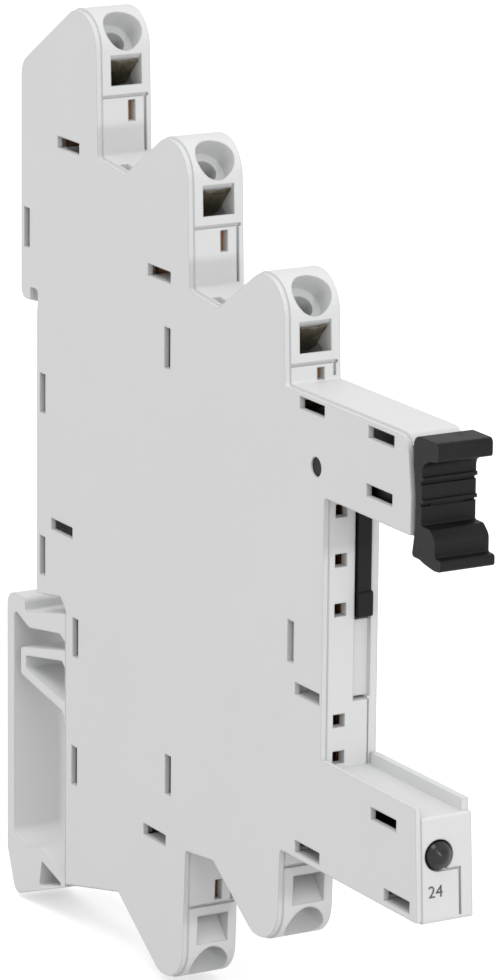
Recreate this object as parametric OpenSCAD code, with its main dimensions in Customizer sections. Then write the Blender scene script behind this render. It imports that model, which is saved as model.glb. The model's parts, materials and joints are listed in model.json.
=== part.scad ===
// Slim relay socket for a 35 mm rail: five spring clamp terminals, a relay bay
// between two arms, an ejector lever and a coil supply with an indicator.
// The origin is the middle of the rail seat. +X points to the terminals, +Z up,
// and the side cover faces -Y.

/* [Body] */
// Overall thickness
body_w = 6.2; // [6:0.1:7]
// Thickness of the snap-on side cover
cover_t = 0.6; // [0.5:0.05:0.8]
// Thickness of the wall opposite the cover
far_t = 0.8; // [0.6:0.05:1]
// Thickness of the outer rim and of the floors under the clamps
rim_t = 1.1; // [0.9:0.05:1.3]
// Distance of the upper rear face behind the rail seat
hook_reach = 3.55; // [3:0.05:4]

/* [Terminal heads] */
// Front face of the rearmost upper head
head_front = 13.85; // [13:0.05:15]
// Step between neighbouring heads along X
head_step_x = 19.55; // [19.2:0.05:20]
// Step between neighbouring heads along Z
head_step_z = 10.1; // [9.8:0.05:10.4]
// Height of the foot of the highest head above the rail's centre
upper_foot = 34.3; // [33.8:0.1:34.8]
// Depth of the foot of the lowest head below the rail's centre
lower_foot = 35.3; // [34.8:0.1:35.8]
// Height of a head above its foot
head_h = 14.75; // [14.4:0.05:15]
// Angle of a head's sloping back
back_angle = 32.6; // [32:0.1:33]
// Angle of the wire and tool entries
entry_angle = 42; // [40:0.5:44]
// Diameter of the wire funnel
funnel_d = 4.3; // [3.8:0.1:4.4]
// Depth of the wire funnel
funnel_depth = 2; // [1.5:0.1:2.4]
// Diameter of the wire bore
wire_d = 2.5; // [2:0.1:3]
// Width of the tool slot
tool_w = 3.6; // [3.2:0.1:3.8]
// Height of the tool slot on the face
tool_h = 3.1; // [2.6:0.1:3.3]
// Offset of the entries from the middle of the thickness
entry_y = 0.3; // [0.1:0.05:0.35]

/* [Rail] */
// Width of the rail
rail_w = 35; // [35:0.1:35.2]
// Thickness of the rail's lip
rail_lip = 1; // [1:0.05:1.2]

/* [Relay bay] */
// Front of the face that the relay's pins enter
slot_x = 60.6; // [60:0.1:61]
// Height of the uppermost contact window
contact_top = 7.3; // [7.1:0.05:7.4]
// Spacing of the three switching contacts
contact_pitch = 5.04; // [5:0.01:5.08]
// Gap between the switching contacts and the coil contacts
coil_gap = 11.34; // [11.3:0.01:11.4]
// Spacing of the two coil contacts
coil_pitch = 3.78; // [3.75:0.01:3.8]
// Size of a square contact window
window = 1.35; // [1.2:0.05:1.5]
// Offset of the contact windows from the middle of the thickness
contact_y = -1.2; // [-1.25:0.05:-1.1]

/* [Arms] */
// Top of the upper arm
arm_top = 18.45; // [18.2:0.05:18.7]
// Underside of the upper arm, the ceiling of the relay bay
bay_top = 8.57; // [8.4:0.05:8.6]
// Front end of the upper arm
arm_x = 76.8; // [76.4:0.1:77.2]
// Floor of the relay bay
bay_floor = -19; // [-19.1:0.05:-18.9]
// Height of the two lips beside the bay's floor
lip_h = 1.2; // [0.9:0.1:1.4]
// Underside of the lower arm
arm_bottom = -29.6; // [-30:0.1:-29.3]
// Front of the lower arm at its bottom
nose_x = 79.2; // [78.8:0.1:79.5]

/* [Ejector] */
// Distance of the pivot behind the front end of the upper arm
pivot_back = 18; // [17.7:0.1:18.2]
// Height of the pivot above the bay's ceiling
pivot_up = 2.93; // [2.85:0.01:3]
// Diameter of the pivot bores
pivot_d = 2; // [1.8:0.05:2.2]
// Radial running clearance of the trunnions
pivot_gap = 0.05; // [0.03:0.01:0.08]
// Width of the clip that the fingers hold
clip_w = 6; // [5.7:0.1:6.1]
// Width of the lever's bar
bar_w = 3.8; // [3.4:0.1:4]
// Width of the ejecting finger
finger_w = 1.45; // [1.3:0.05:1.6]
// How far the finger reaches below the pivot
finger_reach = 15.25; // [14:0.25:16]

/* [Current bars and clamps] */
// Thickness of a current bar
strip_t = 0.6; // [0.5:0.05:0.7]
// Width of a current bar
strip_w = 3; // [2.6:0.1:3]
// Thickness of a clamp's spring leaf
leaf_t = 0.4; // [0.3:0.05:0.45]
// Width of a clamp's spring leaf
leaf_w = 3.2; // [2.8:0.1:3.2]
// Clearance round parts that lie in the moulding
fit = 0.1; // [0.08:0.01:0.15]
// Thickness of the circuit board
board_t = 1; // [0.8:0.1:1.1]
// Diameter of the indicator
led_d = 3; // [2.8:0.1:3.1]

/* [Hidden] */
$fn = 48;
plastic = "gainsboro";
cut = 0.5;                          // how far cutting shapes run past a face

near = -body_w / 2;                 // outer face of the cover
far = body_w / 2;                   // outer face of the far wall
seam = near + cover_t;              // where the cover lies on the base
inside = far - far_t;               // inner face of the far wall
pivot_x = arm_x - pivot_back;
pivot_z = bay_top + pivot_up;
slope = tan(back_angle);

// ---- outlines: corner lists of [x, z, radius], turned anticlockwise ----
function unit(v) = v / norm(v);
function flat(p) = [p[0], p[1]];
function arc_corner(a, b, c, r) =
    let (u = unit(a - b), w = unit(c - b), open = acos(u * w))
    r <= 0 || open > 179 ? [b] :
    let (centre = b + unit(u + w) * r / sin(open / 2),
         s = b + u * r / tan(open / 2) - centre,
         e = b + w * r / tan(open / 2) - centre,
         from = atan2(s[1], s[0]),
         turn = atan2(e[1], e[0]) - from,
         sweep = turn > 180 ? turn - 360 : turn < -180 ? turn + 360 : turn,
         n = max(2, ceil(abs(sweep) / 12)))
    [for (i = [0:n]) centre + r * [cos(from + sweep * i / n), sin(from + sweep * i / n)]];
function rounded(p) = let (n = len(p))
    [for (i = [0:n - 1])
        each arc_corner(flat(p[(i + n - 1) % n]), flat(p[i]), flat(p[(i + 1) % n]), p[i][2])];
// The same outline moved inwards by t
function inset(p, t) = let (n = len(p))
    [for (i = [0:n - 1])
        let (b = flat(p[i]), u = unit(b - flat(p[(i + n - 1) % n])),
             w = unit(flat(p[(i + 1) % n]) - b),
             m = [-u[1], u[0]], k = [-w[1], w[0]],
             side = sign(u[0] * w[1] - u[1] * w[0]),
             q = b + t * (m + k) / (1 + m * k))
        [q[0], q[1], p[i][2] > 0 ? max(0, p[i][2] - t * side) : 0]];
// A strip of thickness t along a rounded open path
function path_points(p) = let (n = len(p))
    [for (i = [0:n - 1])
        each i == 0 || i == n - 1 ? [flat(p[i])] :
            arc_corner(flat(p[i - 1]), flat(p[i]), flat(p[i + 1]), p[i][2])];
function path_side(q, d) = let (n = len(q))
    [for (i = [0:n - 1])
        let (u = unit(q[max(i, 1)] - q[max(i, 1) - 1]),
             w = unit(q[min(i, n - 2) + 1] - q[min(i, n - 2)]),
             m = [-u[1], u[0]], k = [-w[1], w[0]])
        q[i] + d * (m + k) / (1 + m * k)];
function backwards(q) = [for (i = [len(q) - 1:-1:0]) q[i]];

module strip(p, t) {
    q = path_points(p);
    polygon(concat(path_side(q, -t / 2), backwards(path_side(q, t / 2))));
}
// Extrudes a side view from y0 to y1
module slab(y0, y1) translate([0, y1, 0]) rotate([90, 0, 0]) linear_extrude(y1 - y0) children();
// Extrudes a plan view from z0 to z1
module layer(z0, z1) translate([0, 0, z0]) linear_extrude(z1 - z0) children();
module block(x, y, z) translate([x[0], y[0], z[0]])
    cube([x[1] - x[0], y[1] - y[0], z[1] - z[0]]);

// ---- terminal heads: [front x, foot z, 1 for upward or -1 for downward] ----
upper_heads = [for (k = [0:2]) [head_front + k * head_step_x, upper_foot - k * head_step_z, 1]];
lower_heads = [for (k = [1:2])
    [head_front + k * head_step_x, -lower_foot + (k - 1) * head_step_z, -1]];
heads = concat(upper_heads, lower_heads);
nose_r = 3.9;
crown_r = 2.8;
crown_back = 5.8;                   // start of the sloping back behind the face
face_lean = 0.6;                    // how far the face leans back at its top
v_depth = 0.6;                      // drop of the ledge towards the next head
v_r = 0.3;

// Height over a head's foot of its sloping back at x
function back_z(x) = head_h + (x + crown_back) * slope;
function head_corner(h, x, z, r) = [h[0] + x, h[1] + h[2] * z, r];
function crown(h) = [head_corner(h, -crown_back, head_h, crown_r),
                     head_corner(h, -face_lean, head_h, nose_r)];
// The V between head h and the next head g, on the sloping back of g
function valley(h, g) = let (z = h[1] - h[2] * v_depth,
        x = g[0] - crown_back - (head_h - (z - g[1]) * h[2]) / slope)
    [head_corner(h, 0, 0, v_r), [x, z, v_r]];
// Points of a head's own frame in the part's frame, kept anticlockwise
function on_head(h, p) = let (q = [for (c = p) [h[0] + c[0], h[1] + h[2] * c[1], c[2]]])
    h[2] > 0 ? q : backwards(q);
// A small slot in the ledge just above the bottom of each V
module valley_notch(h, g) let (v = valley(h, g)[1])
    block([v[0] - 2.6, v[0] - 0.3], [seam + 0.25, seam + 1.2],
        [v[1] - 0.6, v[1] + 0.6]);
module at_head(h) translate([h[0], 0, h[1]]) mirror([0, 0, h[2] < 0 ? 1 : 0]) children();

// ---- the side outline of the socket ----
cover_set = 0.2;                    // the cover's edge stands back from the base's
half_rail = rail_w / 2;
hook_z = half_rail - 1.4;           // underside of the rail hook's lip
rail_gap = 0.15;                    // play of the rail in its notch
seat_end = 1.7 - half_rail;         // lower end of the rail seat
slot_roof = 1.3 - half_rail;        // slot behind the rail's lower edge
slot_rise = 1.35;
plate_x = 6.65;                     // rear edge of the cover beside the foot
heel_z = -46.7;
tail = [18.7, -44];
rear_r = 2.5;
arm_r = 2;
lean_from = 12.5;                   // where the arm's end starts to lean back
arm_lean = 0.8;
corner_r = 0.3;
nose_lean = 0.65;

function face_x(h, z) = h[0] - face_lean * abs(z - h[1]) / head_h;
rear_top = upper_heads[0][1] + back_z(-hook_reach - head_front);
function side_outline(floor_z) = concat(
    [[-hook_reach, rear_top, rear_r],
     [-hook_reach, hook_z, 1.2],
     [-rail_lip - rail_gap, hook_z, 0.2],
     [-rail_lip - rail_gap, half_rail, 0.1],
     [rail_gap, half_rail, 0.3],
     [rail_gap, hook_z, 0.3],
     [0, hook_z - 0.8, 0.2],
     [0, seat_end, 0.3],
     [plate_x - rim_t, slot_roof + slot_rise, 0.5],
     [plate_x, slot_roof + slot_rise - rim_t, 0.5],
     [plate_x, heel_z, 0.2],
     [tail[0], tail[1], 0.5]],
    crown(lower_heads[0]), valley(lower_heads[0], lower_heads[1]), crown(lower_heads[1]),
    [[face_x(lower_heads[1], arm_bottom), arm_bottom, 0.3],
     [nose_x, arm_bottom, 0.4],
     [nose_x - nose_lean, floor_z, 0.3],
     [slot_x, floor_z, 0],
     [slot_x, bay_top, corner_r],
     [arm_x, bay_top, corner_r],
     [arm_x, lean_from, 1],
     [arm_x - arm_lean, arm_top, arm_r],
     [face_x(upper_heads[2], arm_top), arm_top, 0.3]],
    backwards(crown(upper_heads[2])), backwards(valley(upper_heads[1], upper_heads[2])),
    backwards(crown(upper_heads[1])), backwards(valley(upper_heads[0], upper_heads[1])),
    backwards(crown(upper_heads[0])));
base_outline = side_outline(bay_floor);
cover_outline = side_outline(bay_floor + lip_h);

// ---- the rail foot, one moulding with the base ----
foot_x = -6.65;
foot_wall = 1.6;
foot_nose = -2.5;
foot_top = 0.65 - half_rail;
foot_in = foot_x + foot_wall;
heel_slope = 0.353;
cover_gap = 0.06;                   // gap between the foot's frame and the cover
// Side view of the foot, whose frame runs on to the right as far as x_end
module foot_view(x_end) {
    difference() {
        polygon(rounded([
            [foot_nose, foot_top - 1.4, 0.2], [foot_nose, foot_top, 0.6], [foot_x, foot_top, 1.6],
            [foot_x, -46, 1.2], [-4.7, -50.9, 1.3],
            [x_end, heel_z + 0.2 - (plate_x + rim_t - x_end) * heel_slope, 0],
            [x_end, slot_roof, 0], [plate_x, slot_roof - 0.13, 0]]));
        polygon(rounded([
            [foot_in, foot_top - 1.75, 0.6], [foot_in, -44, 1], [-3, -44.9, 1.5], [0.9, -44.1, 0.5],
            [plate_x, -46, 0.2], [plate_x, foot_top - 2.55, 0.2],
            [plate_x - 1.15, foot_top - 1.95, 0.4], [-1.6, foot_top - 3.05, 1.5]]));
        polygon(rounded([[1.4, -45.4, 0.2], [0.8, -48.3, 0.2], [6.3, -46.8, 0.2]]));
    }
    foot_spring(x_end);
}
// The folded spring that carries the foot: two ribs joined at their rear ends
module foot_spring(x_end) difference() {
    polygon(rounded([
        [x_end, -22.5 + (x_end + 3.46) * 0.21, 0], [-3.46, -22.5, 0.5], [-3.46, -25.5, 0.5],
        [plate_x - 0.6, -27.25, 0.2], [plate_x, -27.9, 0], [x_end, -27.9, 0]]));
    polygon(rounded([
        [-2.3, -23.2, 0.2], [-2.3, -24.6, 0.2], [plate_x, -26.1, 0.2], [plate_x, -22.3, 0.2],
        [6, -21.7, 0.2]]));
}

// ---- relay contacts, from the top down: three switching, two coil ----
contact_z = [contact_top, contact_top - contact_pitch, contact_top - 2 * contact_pitch];
coil_z = [contact_z[2] - coil_gap, contact_z[2] - coil_gap - coil_pitch];
socket_t = 0.35;
socket_gap = 1.1;                   // opening between a socket's leaves
socket_h = 2.6;
socket_len = 5;
room_h = socket_h / 2 + 0.15;       // half the height of a socket's room
leaf_out = (socket_gap + socket_t) / 2;
leaf_pinch = 0.45;                  // where a socket's leaves grip the pin
socket_x = slot_x - rim_t - 0.3 - socket_len;
block_x = socket_x - 1.4;           // rear of the solid block behind the pin windows
socket_y = [contact_y - socket_gap / 2 - socket_t, contact_y + socket_gap / 2 + socket_t];

// ---- bars and clamps, in a head's own frame ----
clamp_floor = 0.8;                  // floor under a clamp, above the head's foot
tab_x = -rim_t - strip_t / 2 - fit;
strip_z = clamp_floor + strip_t / 2;
leaf_z = clamp_floor + strip_t + leaf_t / 2;
chamber_back = -14.6;
feed_back = 9.5;                    // how far the feed leaves the clamp behind the face
strip_y = [inside - board_t - strip_w, inside - board_t];
leaf_y = [entry_y - leaf_w / 2, entry_y + leaf_w / 2];
guide_t = 0.8;
bend_r = 1.6;                       // bend of the feed strips
board_x = 36;
board_z = coil_z[0] - 2;            // height at which the lowest head's bar meets the board
clamp_path = [[tab_x, 5.8, 0], [tab_x, strip_z, 0.8], [chamber_back, strip_z, 0.8],
    [chamber_back, 3.6, 0.8], [-7.6, 10, 0]];
leaf_path = [[-10, leaf_z, 0], [-2.7, leaf_z, 1.7], [-2.7, leaf_z + 4, 1.7],
    [-11.4, leaf_z + 2.3, 0]];
function feed_start(h) = [h[0] - feed_back, h[1] + h[2] * strip_z, 0];
feeds = concat(
    [for (k = [0:2]) let (s = feed_start(upper_heads[k]))
        [s, [s[0], contact_z[2 - k], bend_r], [socket_x, contact_z[2 - k], 0]]],
    [let (s = feed_start(lower_heads[0]))
        [s, [s[0], board_z, bend_r], [board_x + 3, board_z, 0]],
     let (s = feed_start(lower_heads[1])) [s, [s[0], s[1] + 3.6, 0]]]);

// ---- latch windows of the cover: centres [x, z] ----
latch_long = 4.8;
latch_short = 1.25;
latch_high = 4.3;
latch_depth = 2;                    // recess in the base under a window
latch_play = 0.4;                   // the recess is this much longer at each end
flat_latches = [[7.2, 34.4], [26.9, 24.6], [5.9, -7.1], [26.6, -35.25], [57.9, 17.3],
    [71, 17.2], [72.5, -20.7], [75.2, -28.2], [58, -28.2], [57.6, -11.9]];
tall_latches = [[-2.1, 24], [1.5, 6.7], [28.7, 17.2], [1.5, -11.1], [9, -18.4], [8.8, -32.6],
    [29.4, -28], [54.25, -7.35]];
lever_window = [70.8, 11.4];        // looks onto the lever, with no latch

module window_cut(c, w, h, y0, y1)
    block([c[0] - w / 2, c[0] + w / 2], [y0, y1], [c[1] - h / 2, c[1] + h / 2]);
module latch_cuts(play, y0, y1) {
    for (c = flat_latches) window_cut(c, latch_long + 2 * play, latch_short, y0, y1);
    for (c = tall_latches) window_cut(c, latch_short, latch_high + 2 * play, y0, y1);
}

// ---- heads: what is cut in them and what stands behind their faces ----
tool_foot = 7.3;                    // lower edge of the tool slot above the head's foot
entry_depth = 3.9;
bridge_top = 5.7;
bridge_foot = 3.5;
bridge_w = 0.85;
bridge_y = strip_y[1] - bridge_w;
groove = 0.3;
groove_z = 6;
panel_y = inside;                   // the groove between a head's panel and the far wall
wire_x = -1.8;                      // middle of the funnel's rim
wire_z = head_h - 2.2;

nose_block = [[cut, groove_z + 0.2, 0], [cut, head_h + cut, 0], [-7.3, head_h + cut, 0],
    [-7.3, 12.3, 0], [-3, 7.5, 0], [-rim_t, groove_z + 0.2, 0]];
floor_rib = [[0, clamp_floor - rim_t, 0], [0, clamp_floor, 0],
    [chamber_back - 1.8, clamp_floor, 0], [chamber_back - 1.8, clamp_floor - rim_t, 0]];
module head_cuts(h) {
    arm = h[2] > 0 ? arm_top : arm_bottom;
    start = h[0] > block_x - cut ? abs(arm - h[1]) + 0.1 : 0;
    at_head(h) {
        translate([wire_x, entry_y, wire_z]) rotate([0, 90 - entry_angle, 0]) {
            translate([0, 0, -funnel_depth]) cylinder(d = funnel_d, h = funnel_depth + 3);
            translate([0, 0, -7]) cylinder(d = wire_d, h = 8);
        }
        slab(entry_y - tool_w / 2, entry_y + tool_w / 2)
            polygon([[cut, tool_foot], [cut, tool_foot + tool_h], [-0.5, tool_foot + tool_h],
                [-entry_depth, tool_foot + tool_h - entry_depth * tan(entry_angle)],
                [-entry_depth, tool_foot - entry_depth * tan(entry_angle)],
                [-0.3, tool_foot]]);
        block([-rim_t - cut, cut], [bridge_y, strip_y[1]],
            [max(bridge_foot, start), bridge_top]);
        block([-face_lean / 2 - groove, cut], [seam - cut, far - groove],
            [groove_z, groove_z + groove]);
        block([-face_lean / 2 - groove, cut], [panel_y, panel_y + groove],
            [start + groove, groove_z + cut / 2]);
    }
}

// ---- the base ----
mouth_z = [bay_top + rim_t, arm_top - rim_t];
finger_foot = pivot_z - finger_reach;
tip_h = 2.65;
channel_x = slot_x - 1.8;           // back of the finger's channel
channel_end = -12;                  // lower end of the channel, with a slit under it
slit_h = 0.3;
finger_y = [inside - 0.3 - finger_w, inside - 0.3];
finger_gap = 0.15;                  // sideways gap of the finger in its channel
led_y = -0.6;
led_z = bay_floor - 3.9;
led_back = nose_x - 4.6;
led_len = 5;                        // the dome stands out of the nose

board_y = [inside - board_t, inside];
board_top = -10.5;
board_foot = -24.5;
arm_foot = -27.9;                   // the board's tongue in the lower arm
arm_board_h = 6.4;
rectifier_size = [4.7, 2.4, 4];
capacitor_size = [10.2, 3, 5.4];
diode_size = [4.3, 2.1, 3.5];
resistor_d = 2.3;
resistor_len = 6.3;
lead = 0.6;
module board_view(play) {
    translate([board_x - play, board_foot - play])
        square([block_x - 0.2 - board_x + 2 * play, board_top - board_foot + 2 * play]);
    translate([block_x - cut - play, arm_foot - play])
        square([led_back - 0.5 - block_x + cut + 2 * play, arm_board_h + 2 * play]);
}

// What fills the hollow of the base besides its rim
module ribs() {
    for (h = heads) {
        polygon(rounded(on_head(h, nose_block)));
        polygon(rounded(on_head(h, floor_rib)));
    }
    for (f = feeds) strip(f, strip_t + 2 * (fit + guide_t));
    translate([block_x, bay_floor - rim_t])
        square([slot_x - block_x, bay_top - bay_floor + 2 * rim_t]);
}
module base_hollow() difference() {
    polygon(rounded(inset(base_outline, rim_t)));
    ribs();
}
module socket_room(z, y1)
    block([socket_x - fit, slot_x - rim_t], [seam - cut, y1], [z - room_h, z + room_h]);
module bay_cuts() {
    for (z = concat(contact_z, coil_z))
        block([slot_x - 2 * rim_t, slot_x + cut], [contact_y - window / 2, contact_y + window / 2],
            [z - window / 2, z + window / 2]);
    for (z = contact_z) socket_room(z, socket_y[1] + fit);
    for (z = coil_z) {
        socket_room(z, socket_y[1] + fit);
        block([block_x - cut, socket_x + socket_t + fit], [seam - cut, strip_y[1]],
            [z - room_h, z + room_h]);
    }
    block([channel_x, slot_x + cut], [finger_y[0] - finger_gap, inside],
        [finger_foot - 0.4, bay_top + cut]);
    block([slot_x - 0.6, slot_x + cut], [finger_y[0] - finger_gap, inside],
        [channel_end, bay_top]);
    block([slot_x - 2, slot_x + cut], [finger_y[0] - finger_gap, finger_y[1]],
        [channel_end - slit_h, channel_end]);
    block([slot_x - 0.2, slot_x + cut], [finger_y[1] + 0.05, finger_y[1] + 0.2],
        [bay_floor, channel_end - slit_h]);
    block([channel_x, slot_x + 2], [finger_y[0] - finger_gap, inside], [bay_top - cut, mouth_z[0] + cut]);
    block([arm_x - 2 * rim_t, arm_x + cut], [seam - cut, inside], mouth_z);
    translate([led_back, led_y, led_z]) rotate([0, 90, 0])
        cylinder(d = led_d + 2 * fit, h = nose_x - led_back + cut);
    // the outline of the marking plate below the indicator
    block([nose_x - nose_lean, nose_x + cut], [-0.45, 1.85], [-24.5, -24.3]);
    block([nose_x - nose_lean, nose_x + cut], [1.6, 1.85], [-29.1, -24.3]);
}
module housing_base() color(plastic) {
    difference() {
        union() {
            slab(inside, far) polygon(rounded(base_outline));
            slab(seam, inside) difference() {
                polygon(rounded(base_outline));
                base_hollow();
            }
            slab(near, seam) foot_view(plate_x + cover_set - cover_gap);
            slab(seam, far) foot_view(plate_x + rim_t);
            block([slot_x + 0.4, nose_x - 1.2], [inside, far],
                [bay_floor - cut, bay_floor + lip_h]);
        }
        for (h = heads) head_cuts(h);
        for (h = heads) slab(seam - cut, strip_y[1])
            strip(on_head(h, clamp_path), strip_t + 2 * fit);
        for (f = feeds) slab(seam - cut, strip_y[1]) strip(f, strip_t + 2 * fit);
        slab(board_y[0], board_y[1]) board_view(fit);
        bay_cuts();
        for (k = [0:1]) valley_notch(upper_heads[k], upper_heads[k + 1]);
        valley_notch(lower_heads[0], lower_heads[1]);
        latch_cuts(latch_play, seam - cut, seam + latch_depth);
        trunnion_bore();
    }
}
module trunnion_bore() translate([pivot_x, far + cut, pivot_z]) rotate([90, 0, 0])
    cylinder(d = pivot_d, h = body_w + 2 * cut);

module side_cover() color(plastic) difference() {
    slab(near, seam) polygon(rounded(inset(cover_outline, cover_set)));
    latch_cuts(0, near - cut, seam + cut);
    window_cut(lever_window, latch_long, latch_short, near - cut, seam + cut);
    trunnion_bore();
}

// ---- the ejector lever ----
swing_gap = 0.3;                    // gap between the arm's end and the clip
hub_gap = 0.3;
hub_r = pivot_up - rim_t - hub_gap;
lever_y = (seam + inside) / 2;
clip_front = arm_x + 1.6;           // front of the clip's web
upper_lip = arm_x + 4.5;
lower_lip = arm_x + 5.2;
// Radius round the pivot that clears both corners of the arm's end
arm_swing = max(norm([pivot_back - arm_lean - arm_r, arm_top - arm_r - pivot_z]) + arm_r,
    norm([pivot_back - corner_r, pivot_up - corner_r]) + corner_r);
module clip_view() difference() {
    union() {
        polygon(rounded([
            [arm_x, 6.8, 0.3], [arm_x + 1.3, 6.75, 0], [arm_x + 2.3, 6.5, 0],
            [arm_x + 4, 6.25, 0.5], [lower_lip, 6.35, 0.4], [lower_lip, 7.45, 0.3],
            [lower_lip - 1.1, 7.5, 0.2], [lower_lip - 1.1, 9.2, 0.9],
            [lower_lip - 2.1, 10.1, 0.6], [clip_front, 10.1, 0.2],
            [clip_front, 16, 0.9], [upper_lip - 1.6, 16.7, 0.8], [upper_lip, 16.9, 0.4],
            [upper_lip, 18.7, 0.5], [arm_x, 18.7, 1]]));
        for (z = [12.3, 14.5]) translate([clip_front - 0.2, z]) square([0.45, 0.35]);
    }
    translate([pivot_x, pivot_z]) circle(r = arm_swing + swing_gap, $fn = 96);
    for (z = [12, 14.1]) translate([clip_front - 0.25, z]) square([1, 0.3]);
}
module ejector_lever() color("#2a2a2c") union() {
    slab(-clip_w / 2, clip_w / 2) clip_view();
    slab(lever_y - bar_w / 2, lever_y + bar_w / 2) polygon(rounded([
        [pivot_x, mouth_z[0] + hub_gap, 0], [clip_front - 0.1, mouth_z[0] + hub_gap, 0],
        [clip_front - 0.1, pivot_z + 0.9, 0], [pivot_x, pivot_z + 1.4, 0]]));
    slab(seam + hub_gap, inside - hub_gap) translate([pivot_x, pivot_z]) circle(r = hub_r);
    translate([pivot_x, far - 0.15, pivot_z]) rotate([90, 0, 0])
        cylinder(d = pivot_d - 2 * pivot_gap, h = body_w - 0.3);
    slab(finger_y[0], finger_y[1]) polygon(rounded([
        [channel_x + 0.3, finger_foot, 0.3], [slot_x + 0.4, finger_foot, 0.4],
        [slot_x + 0.4, pivot_z - 1, 0.5], [channel_x + 0.3, pivot_z - 1, 0]]));
    // the thicker tip that pushes the relay out
    slab(finger_y[0], finger_y[1] + 0.15) polygon(rounded([
        [channel_x + 0.4, finger_foot, 0.3], [slot_x + 0.65, finger_foot, 0.4],
        [slot_x + 0.65, finger_foot + tip_h, 0.3], [channel_x + 0.4, finger_foot + tip_h, 0]]));
}

// ---- current path ----
module clamp(h) color("silver") at_head(h) slab(leaf_y[0], leaf_y[1]) strip(leaf_path, leaf_t);
module current_bar(h, feed) color("peru") slab(strip_y[0], strip_y[1]) {
    strip(on_head(h, clamp_path), strip_t);
    strip(feed, strip_t);
}
module leaves() {
    translate([socket_x, socket_y[0]]) square([socket_t, socket_y[1] - socket_y[0]]);
    for (s = [-1, 1])
        strip([[socket_x, contact_y + s * leaf_out, 0],
            [socket_x + socket_len * 0.7, contact_y + s * leaf_pinch, 0.5],
            [socket_x + socket_len, contact_y + s * leaf_out, 0]], socket_t);
}
module contact_socket(z) color("peru") layer(z - socket_h / 2, z + socket_h / 2) leaves();
module coil_socket(z) color("peru") layer(z - socket_h / 2, z + socket_h / 2) {
    leaves();
    translate([socket_x, contact_y]) square([socket_t, strip_y[1] - contact_y]);
    translate([block_x - 2.5, strip_y[1] - socket_t])
        square([socket_x + socket_t - block_x + 2.5, socket_t]);
}

// ---- coil supply ----
module circuit_board() color("seagreen") slab(board_y[0], board_y[1]) board_view(0);
module on_board(x, z, size) block([x, x + size[0]], [board_y[0] - size[1], board_y[0]],
    [z, z + size[2]]);
module rectifier() color("#222222")
    on_board(board_x + 10.8, board_foot + 1, rectifier_size);
module capacitor() color("firebrick")
    on_board(board_x + 3.6, board_top - 7.1, capacitor_size);
module surge_diode() color("#333333")
    on_board(led_back - 7.6, arm_foot + 1.9, diode_size);
module resistor(x, z) color("tan") {
    body_y = board_y[0] - 1.2;
    translate([x, body_y, z]) rotate([0, 90, 0]) cylinder(d = resistor_d, h = resistor_len);
    for (e = [x - 1.5 * lead, x + resistor_len + lead / 2])
        block([e, e + lead], [body_y - lead / 2, board_y[0]], [z - lead / 2, z + lead / 2]);
    block([x - 1.5 * lead, x + resistor_len + 1.5 * lead],
        [body_y - lead / 2, body_y + lead / 2], [z - lead / 2, z + lead / 2]);
}
module resistor_1() resistor(board_x + 2.5, board_foot + 3.5);
module resistor_2() resistor(block_x + 3.7, arm_foot + 3.6);
module indicator_led() color("darkslategray") {
    translate([led_back + 0.1, led_y, led_z]) rotate([0, 90, 0])
        rotate_extrude() polygon(rounded([[0, 0, 0], [led_d / 2, 0, 0.1],
            [led_d / 2, led_len, 1.45], [0, led_len, 0]]));
    for (z = [-0.9, 0.9]) {
        block([led_back - 2, led_back + 0.3], [led_y - 0.25, led_y + 0.25],
            [led_z + z - 0.25, led_z + z + 0.25]);
        block([led_back - 2, led_back - 1.5], [led_y - 0.25, board_y[0]],
            [led_z + z - 0.25, led_z + z + 0.25]);
    }
}

housing_base();
side_cover();
ejector_lever();
for (i = [1:3]) {
    clamp(upper_heads[i - 1]);
    current_bar(upper_heads[i - 1], feeds[i - 1]);
    contact_socket(contact_z[3 - i]);
}
for (i = [1:2]) {
    clamp(lower_heads[i - 1]);
    current_bar(lower_heads[i - 1], feeds[i + 2]);
    coil_socket(coil_z[2 - i]);
}
circuit_board();
rectifier();
capacitor();
surge_diode();
resistor_1();
resistor_2();
indicator_led();
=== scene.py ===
# %% [markdown]
# # A slim relay socket
#
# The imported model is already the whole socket: base, cover, lever and the metal
# inside. This notebook sets a plain studio round it, gives each piece its finish, and
# adds the clamp frames that show in the upper tool entries and the number on the nose.

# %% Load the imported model
import math
import json

import bpy
from mathutils import Matrix, Vector


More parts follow.
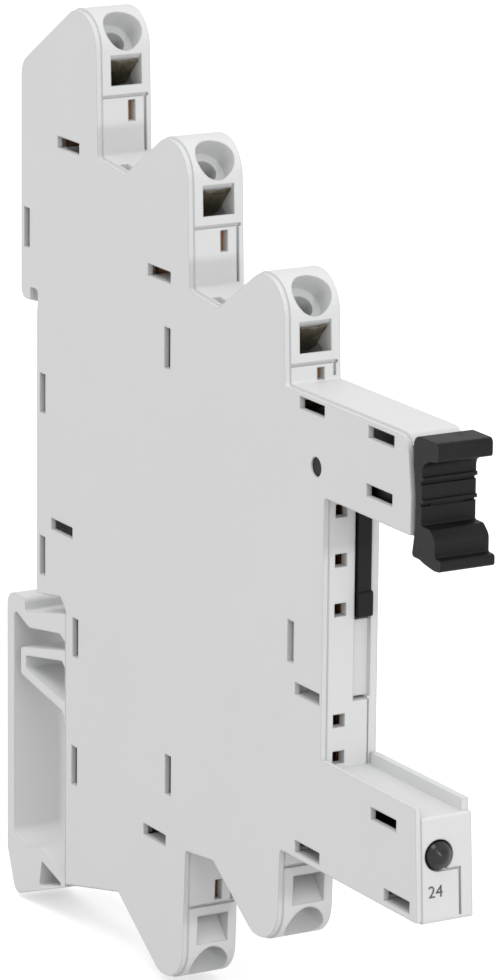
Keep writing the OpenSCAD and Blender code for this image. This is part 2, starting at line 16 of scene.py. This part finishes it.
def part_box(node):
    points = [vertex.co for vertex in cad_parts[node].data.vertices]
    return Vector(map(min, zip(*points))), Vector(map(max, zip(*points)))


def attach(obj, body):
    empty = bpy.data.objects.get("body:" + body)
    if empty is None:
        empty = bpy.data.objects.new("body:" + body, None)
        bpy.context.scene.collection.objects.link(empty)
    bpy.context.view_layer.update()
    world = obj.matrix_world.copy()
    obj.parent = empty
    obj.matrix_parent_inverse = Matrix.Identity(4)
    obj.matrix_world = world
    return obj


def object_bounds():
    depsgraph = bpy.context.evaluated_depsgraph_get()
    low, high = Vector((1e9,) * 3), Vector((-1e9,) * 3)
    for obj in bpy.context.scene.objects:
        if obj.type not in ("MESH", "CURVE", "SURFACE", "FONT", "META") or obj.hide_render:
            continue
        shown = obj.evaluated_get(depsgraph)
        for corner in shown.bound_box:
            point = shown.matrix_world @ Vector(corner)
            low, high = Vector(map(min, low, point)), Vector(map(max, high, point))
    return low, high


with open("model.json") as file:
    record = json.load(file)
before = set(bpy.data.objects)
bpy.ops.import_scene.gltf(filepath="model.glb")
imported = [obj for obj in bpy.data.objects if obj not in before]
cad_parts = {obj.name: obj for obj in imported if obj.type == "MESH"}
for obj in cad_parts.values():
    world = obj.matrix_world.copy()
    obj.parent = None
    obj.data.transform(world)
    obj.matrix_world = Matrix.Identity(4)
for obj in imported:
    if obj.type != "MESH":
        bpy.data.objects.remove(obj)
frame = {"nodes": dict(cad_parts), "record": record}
cad_box = [list(corner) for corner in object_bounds()]
MM = 0.001
print("nodes:", len(frame["nodes"]), "box:", cad_box)

# %% [markdown]
# ## Camera and studio
#
# A long lens keeps the tall, thin socket almost free of perspective. The camera is
# placed by its own position, turn, rise and roll, so the view is one exact matrix and
# not a chain of rotations.

# %% Camera
CAMERA_AT = Vector((531.01, -281.56, 150.11)) * MM
TURN, RISE, ROLL = (math.radians(a) for a in (60.145, 14.424, 0.579))
LENS = 212.95       # in mm, as is the sensor
SENSOR = 36         # along the picture's longer side


def camera_axes(turn, rise, roll):
    ahead = Vector((-math.sin(turn) * math.cos(rise), math.cos(turn) * math.cos(rise),
                    -math.sin(rise)))
    level = Vector((math.cos(turn), math.sin(turn), 0))
    raised = level.cross(ahead)
    right = math.cos(roll) * level + math.sin(roll) * raised
    up = -math.sin(roll) * level + math.cos(roll) * raised
    return right, up, ahead


right, up, ahead = camera_axes(TURN, RISE, ROLL)
camera_data = bpy.data.cameras.new("camera")
camera = bpy.data.objects.new("camera", camera_data)
bpy.context.collection.objects.link(camera)
camera_data.lens = LENS
camera_data.sensor_width = SENSOR
camera_data.clip_start = 0.01
camera_data.clip_end = 20
turned = Matrix((right, up, -ahead)).transposed().to_4x4()
camera.matrix_world = Matrix.Translation(CAMERA_AT) @ turned
bpy.context.scene.camera = camera
print("camera at", [round(v, 3) for v in CAMERA_AT])

# %% [markdown]
# ## Shader maths
#
# A small class wraps a shader socket, so a material's sums and products are written as
# plain expressions. Every pattern is laid out on Object coordinates.

# %% Socket for shader expressions


class Value:
    """A shader output that can be added, subtracted and multiplied like a number."""

    def __init__(self, tree, out):
        self.tree = tree
        self.out = out

    def node(self, kind, settings=None, **inputs):
        made = self.tree.nodes.new(kind)
        for name, value in (settings or {}).items():
            setattr(made, name, value)
        for key, value in inputs.items():
            name = key.replace("_", " ")
            socket = made.inputs[int(key[1:])] if key[1:].isdigit() else made.inputs[name]
            if isinstance(value, Value):
                self.tree.links.new(value.out, socket)
            else:
                socket.default_value = value
        return made

    def maths(self, operation, *others):
        inputs = {f"i{k}": v for k, v in enumerate((self,) + others)}
        made = self.node("ShaderNodeMath", {"operation": operation}, **inputs)
        return Value(self.tree, made.outputs[0])

    def __add__(self, other):
        return self.maths("ADD", other)

    def __sub__(self, other):
        return self.maths("SUBTRACT", other)

    def __mul__(self, other):
        return self.maths("MULTIPLY", other)

    def __rsub__(self, other):
        return (self * -1.0) + other

    __radd__ = __add__
    __rmul__ = __mul__

    def clamp(self):
        return self.maths("MAXIMUM", 0.0).maths("MINIMUM", 1.0)

    def above(self, edge, soft):
        """0 under edge, 1 over edge + soft."""
        return ((self - edge) * (1.0 / soft)).clamp()


def new_material(name):
    """A fresh material: its node tree, its Principled shader and the Object position."""
    material = bpy.data.materials.new(name)
    material.use_nodes = True
    tree = material.node_tree
    shader = tree.nodes["Principled BSDF"]
    where = tree.nodes.new("ShaderNodeTexCoord").outputs["Object"]
    return material, tree, shader, Value(tree, where)


def noise(where, scale, detail=3.0, roughness=0.5):
    made = where.node("ShaderNodeTexNoise", None, Vector=where, Scale=scale, Detail=detail,
                      Roughness=roughness)
    return Value(where.tree, made.outputs[0])


def colours(where, factor, first, second):
    made = where.node("ShaderNodeMix", {"data_type": "RGBA"}, i0=factor, i6=(*first, 1),
                      i7=(*second, 1))
    return Value(where.tree, made.outputs[2])


def bump(where, height, strength, distance, edge):
    """Fine relief on top of edges that look rounded by the given radius."""
    soft_edge = where.node("ShaderNodeBevel", {"samples": 4}, Radius=edge)
    made = where.node("ShaderNodeBump", None, Height=height, Strength=strength,
                      Distance=distance, Normal=Value(where.tree, soft_edge.outputs[0]))
    return Value(where.tree, made.outputs[0])


def feed(tree, value, socket):
    tree.links.new(value.out, socket)


print("shader helpers ready")

# %% [markdown]
# ## Floor and background
#
# The floor is a wide pale plane under the foot, an ordinary matt surface that takes the
# socket's shadow and gives soft light from below. A glow that only the camera, mirrors
# and clear bodies see lifts its open parts to white.

# %% Floor and background
WHITE = 1.0                 # strength that the camera sees as white
ROOM = 0.92                 # strength of the even light on the socket
ROOM_TINT = (1.0, 1.0, 0.99)
FLOOR_SIZE = 6
FLOOR_GAP = 0.5 * MM
FLOOR_SHADE = 0.6
FLOOR_GLOW = 0.5
lowest = cad_box[0][2]
bpy.ops.object.select_all(action="DESELECT")
bpy.ops.mesh.primitive_plane_add(size=FLOOR_SIZE, location=(0, 0, lowest - FLOOR_GAP))
floor = bpy.context.object
floor.name = "floor"


def seen_directly(tree):
    """1 for rays of the camera, a mirror or a clear body, 0 for rays of diffuse light."""
    path = tree.nodes.new("ShaderNodeLightPath")
    names = ("Is Camera Ray", "Is Glossy Ray", "Is Transmission Ray")
    camera, mirror, clear = (Value(tree, path.outputs[name]) for name in names)
    return (camera + mirror + clear).clamp()


def lit_paper(name, shade, glow):
    """A pale matt surface that keeps its shadows and looks white where it is open."""
    material, tree, shader, _ = new_material(name)
    shader.inputs["Base Color"].default_value = (shade, shade, shade, 1)
    shader.inputs["Roughness"].default_value = 0.9
    shader.inputs["Emission Strength"].default_value = 1.0
    feed(tree, seen_directly(tree) * glow, shader.inputs["Emission Color"])
    return material


floor.data.materials.append(lit_paper("floor_paper", FLOOR_SHADE, FLOOR_GLOW))
world = bpy.data.worlds.new("studio")
world.use_nodes = True
bpy.context.scene.world = world
world_tree = world.node_tree
soft = world_tree.nodes["Background"]
soft.inputs["Color"].default_value = (*ROOM_TINT, 1)
soft.inputs["Strength"].default_value = ROOM
plain = world_tree.nodes.new("ShaderNodeBackground")
plain.inputs["Color"].default_value = (1, 1, 1, 1)
plain.inputs["Strength"].default_value = WHITE
either = world_tree.nodes.new("ShaderNodeMixShader")
feed(world_tree, seen_directly(world_tree), either.inputs[0])
world_tree.links.new(soft.outputs[0], either.inputs[1])
world_tree.links.new(plain.outputs[0], either.inputs[2])
world_tree.links.new(either.outputs[0], world_tree.nodes["World Output"].inputs["Surface"])
bpy.context.scene.view_settings.view_transform = "Standard"
print("floor at", round(floor.location.z, 4))

# %% [markdown]
# ## Lights
#
# Most of the light is the even studio around the socket, which leaves the wire and tool
# entries dark by itself. Weak lamps lift what faces them: one from high in front the
# terminal faces, one from above the tops of the arms, one from the side the cover and
# the foot. A small one nearly straight ahead glints on the indicator.

# %% Lights
middle = (Vector(cad_box[0]) + Vector(cad_box[1])) / 2


def softbox(name, place, size, watts):
    """A square lamp that looks at the middle of the socket."""
    lamp = bpy.data.lights.new(name, "AREA")
    lamp.shape = "SQUARE"
    lamp.size = size
    lamp.energy = watts
    box = bpy.data.objects.new(name, lamp)
    bpy.context.collection.objects.link(box)
    away = Vector(place)
    box.matrix_world = (Matrix.Translation(middle + away)
                        @ away.to_track_quat("Z", "Y").to_matrix().to_4x4())
    print(name, "at", [round(v, 2) for v in middle + away])


# name: place from the socket's middle and size, both in metres, and watts
LAMPS = {
    "front_light": ((0.7, -0.15, 0.35), 0.3, 0.6),
    "spark_light": ((0.8, 0.03, 0.12), 0.05, 1.3),
    "side_light": ((-0.3, -0.75, 0.2), 0.4, 0.4),
    "top_light": ((0.05, -0.35, 0.8), 0.4, 2.2),
}
for name, lamp in LAMPS.items():
    softbox(name, *lamp)

# %% [markdown]
# ## Grey moulded plastic
#
# The housing is a light neutral grey polyamide with glass fibre. Its moulds are spark
# eroded, so the surface has a very fine even grain, a soft sheen and hardly any gloss.
# Slow colour drift keeps the broad cover from looking like flat paint.

# %% Grey plastic for base and cover
GRAIN_DEPTH = 0.06 * MM


def grey_plastic(name, shade, tint):
    material, tree, shader, where = new_material(name)
    drift = noise(where, 45.0, 2.0)
    grain = noise(where, 5200.0, 2.0, 0.6)
    flow = noise(where, 160.0, 4.0, 0.6)
    light = tuple(shade * t for t in tint)
    dark = tuple(0.98 * c for c in light)
    mixed = (drift * 0.7 + flow * 0.3).above(0.35, 0.3)
    feed(tree, colours(where, mixed, light, dark), shader.inputs["Base Color"])
    feed(tree, 0.42 + grain * 0.2, shader.inputs["Roughness"])
    feed(tree, bump(where, grain, 0.12, GRAIN_DEPTH, 0.22 * MM), shader.inputs["Normal"])
    shader.inputs["Specular IOR Level"].default_value = 0.3
    return material


TINT = (0.99, 1.0, 1.0)
finishes = {
    "housing_plastic": grey_plastic("housing_plastic", 0.63, TINT),
    "cover_plastic": grey_plastic("cover_plastic", 0.62, TINT),
}
print("grey plastics:", list(finishes))

# %% [markdown]
# ## Black lever
#
# The lever is black nylon with a low sheen. Handling leaves faint worn patches, which
# show as small changes of tone and roughness.

# %% Black plastic
black, tree, shader, where = new_material("lever_plastic")
grain = noise(where, 3600.0, 2.0)
wear = noise(where, 380.0, 5.0, 0.65).above(0.5, 0.2)
feed(tree, colours(where, wear, (0.004, 0.0042, 0.005), (0.008, 0.0083, 0.0095)),
     shader.inputs["Base Color"])
feed(tree, 0.5 + wear * 0.12, shader.inputs["Roughness"])
shader.inputs["Specular IOR Level"].default_value = 0.22
feed(tree, bump(where, grain, 0.15, GRAIN_DEPTH, 0.15 * MM), shader.inputs["Normal"])
finishes["lever_plastic"] = black
print("lever finish ready")

# %% [markdown]
# ## Metals, board and indicator
#
# Stamped copper alloy and rolled spring steel get long rolling lines, made by squeezing
# the noise along one axis. The other pieces are small and mostly hidden.

# %% Rolled metals


def rolled_metal(name, bright, dull, roughness):
    material, tree, shader, where = new_material(name)
    squeezed = where.node("ShaderNodeMapping", None, Vector=where, Scale=(1.0, 18.0, 1.0))
    lines = noise(Value(tree, squeezed.outputs[0]), 900.0, 3.0)
    stain = noise(where, 260.0, 4.0).above(0.42, 0.25)
    feed(tree, colours(where, stain, bright, dull), shader.inputs["Base Color"])
    feed(tree, roughness + lines * 0.2, shader.inputs["Roughness"])
    shader.inputs["Metallic"].default_value = 1.0
    return material


def speckled(name, first, second, roughness, scale):
    """Plain coloured finish with a fine change of tone."""
    material, tree, shader, where = new_material(name)
    tone = noise(where, scale, 3.0).above(0.4, 0.25)
    feed(tree, colours(where, tone, first, second), shader.inputs["Base Color"])
    feed(tree, roughness + tone * 0.12, shader.inputs["Roughness"])
    return material


finishes["copper"] = rolled_metal("copper", (0.4, 0.22, 0.11), (0.16, 0.09, 0.05), 0.3)
finishes["spring_steel"] = rolled_metal("spring_steel", (0.6, 0.59, 0.57),
                                        (0.42, 0.4, 0.38), 0.22)
# name: two tones, roughness and scale of the speckle
SPECKLED = {
    "board": ((0.01, 0.12, 0.05), (0.015, 0.15, 0.06), 0.3, 400.0),
    "component_black": ((0.02, 0.02, 0.02), (0.03, 0.03, 0.03), 0.5, 900.0),
    "capacitor_case": ((0.42, 0.05, 0.03), (0.36, 0.04, 0.03), 0.3, 300.0),
    "resistor_body": ((0.5, 0.36, 0.22), (0.42, 0.3, 0.18), 0.4, 700.0),
}
for name, look in SPECKLED.items():
    finishes[name] = speckled(name, *look)
print("finishes:", len(finishes))

# %% Indicator resin
lens, tree, shader, where = new_material("indicator_lens")
depth = noise(where, 500.0, 2.0).above(0.35, 0.3)
feed(tree, colours(where, depth, (0.006, 0.007, 0.0065), (0.014, 0.016, 0.015)),
     shader.inputs["Base Color"])
feed(tree, bump(where, depth, 0.02, 0.02 * MM, 0.4 * MM), shader.inputs["Normal"])
shader.inputs["Roughness"].default_value = 0.13
shader.inputs["Specular IOR Level"].default_value = 0.4
finishes["indicator_lens"] = lens
print("indicator lens ready")

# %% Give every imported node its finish
for part in frame["record"]["subparts"]:
    piece = frame["nodes"][part["node"]]
    piece.data.materials.clear()
    piece.data.materials.append(finishes[part["material_slot"]])

# %% [markdown]
# ## Clamp frames
#
# In the square tool entries of the upper heads the worn frame of each clamp lines the
# slanting roof. Its brass is painted dark: partly real dirt, partly painted shade for the
# dim entry. It is a thin plate with a shallow trough, placed from its clamp's box in
# the imported model. It is modelled once and copied to the other two heads. No metal
# shows in the entries of the lower heads, so they get none.

# %% Clamp frames
FRAME_OFFSET = Vector((0.34, 0, 7.0)) * MM      # from the clamp's front foot corner
FRAME_LENGTH, FRAME_WIDTH = 4.0 * MM, 3.2 * MM
FRAME_SHEET = 0.15 * MM                         # thickness of the sheet
FRAME_SAG = 0.25 * MM                           # depth of the trough
FRAME_TILT = math.radians(45.9)
# Both tones are darker than clean brass: random patches of dirt, plus painted shade for
# the dim entry.
worn_metal_with_painted_shade, tree, shader, where = new_material("worn_metal_painted_shade")
dirt_and_painted_shade = noise(where, 700.0, 4.0, 0.6).above(0.38, 0.3)
feed(tree, colours(where, dirt_and_painted_shade, (0.3, 0.265, 0.2), (0.09, 0.072, 0.05)),
     shader.inputs["Base Color"])
feed(tree, 0.38 + dirt_and_painted_shade * 0.25, shader.inputs["Roughness"])
shader.inputs["Metallic"].default_value = 1.0


def foot_corner(k):
    """The front foot corner of one clamp's box, halfway across the socket."""
    low, high = (Vector(corner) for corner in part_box(f"contact_clamp_{k}"))
    return Vector((high.x, (low.y + high.y) / 2, low.z))


def clamp_frame():
    """The plate of the first clamp, in its place."""
    bpy.ops.object.select_all(action="DESELECT")
    bpy.ops.mesh.primitive_grid_add(x_subdivisions=4, y_subdivisions=8, size=1,
                                    location=foot_corner(1) + FRAME_OFFSET,
                                    rotation=(0, -FRAME_TILT, 0))
    plate = bpy.context.object
    for point in plate.data.vertices:
        point.co.z = -FRAME_SAG * (1 - (2 * point.co.y) ** 2)
    plate.scale = (FRAME_LENGTH, FRAME_WIDTH, 1)
    bpy.ops.object.transform_apply(location=True, rotation=True, scale=True)
    sheet = plate.modifiers.new("sheet", "SOLIDIFY")
    sheet.thickness = FRAME_SHEET
    sheet.offset = 0
    bpy.ops.object.modifier_apply(modifier=sheet.name)
    plate.data.materials.append(worn_metal_with_painted_shade)
    return plate


def moved_copy(piece, shift):
    """A copy with its own mesh, moved by shift."""
    copied = piece.copy()
    copied.data = piece.data.copy()
    copied.data.transform(Matrix.Translation(shift))
    bpy.context.collection.objects.link(copied)
    return copied


first = clamp_frame()
plates = [first] + [moved_copy(first, foot_corner(k) - foot_corner(1)) for k in (2, 3)]
for k, plate in enumerate(plates, 1):
    plate.name = f"clamp_frame_{k}"
    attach(plate, "socket")
    print(plate.name, "spans", [round(v * 1000, 2) for v in plate.dimensions])

# %% [markdown]
# ## A plain number on the nose
#
# Sockets of this kind carry a small printed number on the plate under the indicator.
# The number is a text object that is turned to a mesh, laid on the leaning face of the
# nose and given a hair of thickness, as an ink print has.

# %% Printed number
NUMBER_AT = Vector((79.08, -1.9, -27.0)) * MM   # lower left corner on the nose's face
NUMBER_HEIGHT = 1.7 * MM                        # size of the type
INK = 0.01 * MM                                 # half the thickness of the print
LEAN = math.atan2(0.65, 10.6)                   # how far the face leans back
bpy.ops.object.select_all(action="DESELECT")
bpy.ops.object.text_add(location=NUMBER_AT, rotation=(math.pi / 2, 0, math.pi / 2))
number = bpy.context.object
number.name = "printed_number"
number.data.body = "24"
number.data.size = NUMBER_HEIGHT
number.data.extrude = INK
bpy.ops.object.convert(target="MESH")
bpy.ops.object.transform_apply(location=True, rotation=True, scale=True)
for point in number.data.vertices:
    point.co.x -= (point.co.z - NUMBER_AT.z) * math.tan(LEAN)
ink, tree, shader, where = new_material("ink")
fade = noise(where, 2400.0, 3.0).above(0.42, 0.2)
feed(tree, colours(where, fade, (0.05, 0.05, 0.055), (0.13, 0.13, 0.135)),
     shader.inputs["Base Color"])
shader.inputs["Roughness"].default_value = 0.6
number.data.materials.append(ink)
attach(number, "socket")
print("number spans", [round(v * 1000, 2) for v in number.dimensions])
